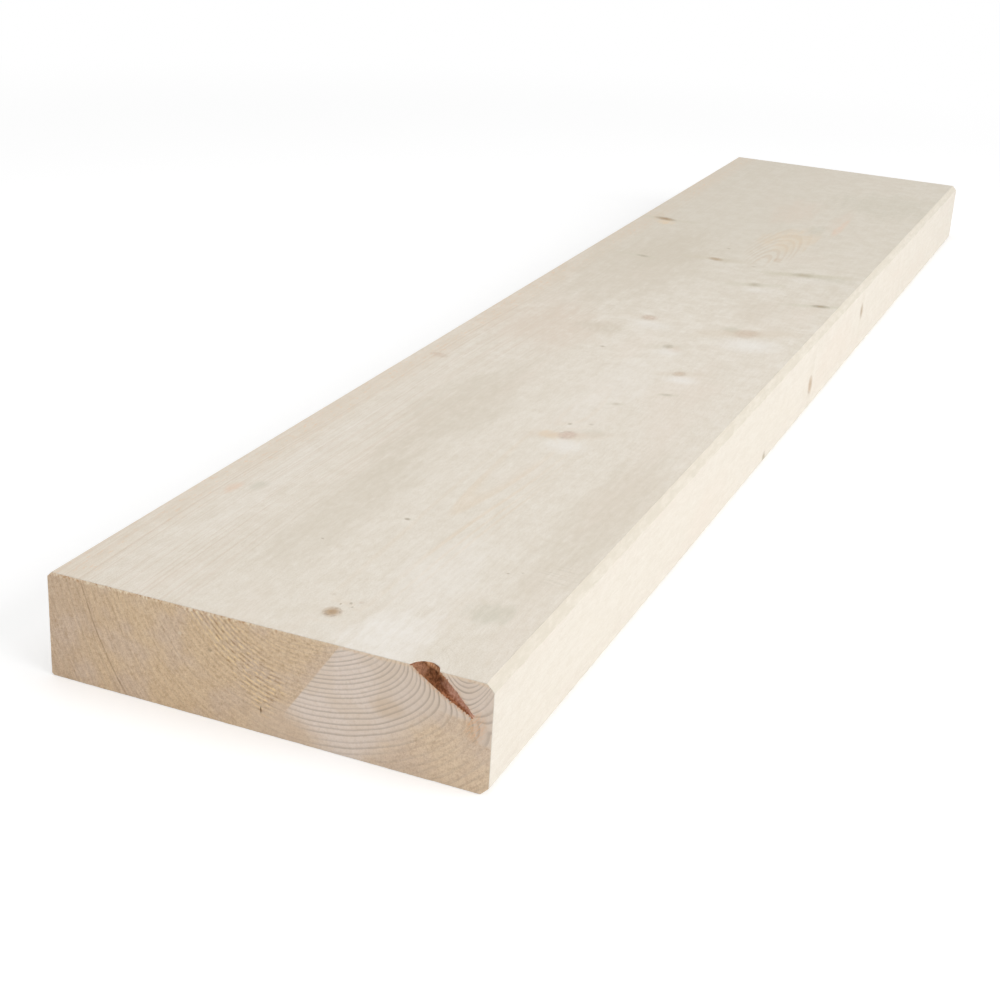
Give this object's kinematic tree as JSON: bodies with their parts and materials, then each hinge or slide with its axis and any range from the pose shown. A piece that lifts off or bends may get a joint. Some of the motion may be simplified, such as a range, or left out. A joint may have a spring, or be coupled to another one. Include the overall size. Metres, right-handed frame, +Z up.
{
  "type": "timber lumber plank",
  "caption": "Dressed rectangular softwood plank with eased long edges, square-sawn ends and an open knot pocket at one top corner of an end.",
  "frame": {"origin": "middle of the plank's underside, on the surface that it lies on", "axes": "+X along the length, away from the end with the knot pocket; +Y across the width, away from the edge nearer to the pocket; +Z up through the thickness"},
  "size_m": [1, 0.195, 0.047],
  "materials": {
    "wood": "planed bare softwood with sawn ends, matt"
  },
  "bodies": {
    "root": {"plank": "wood"}
  },
  "joints": []
}
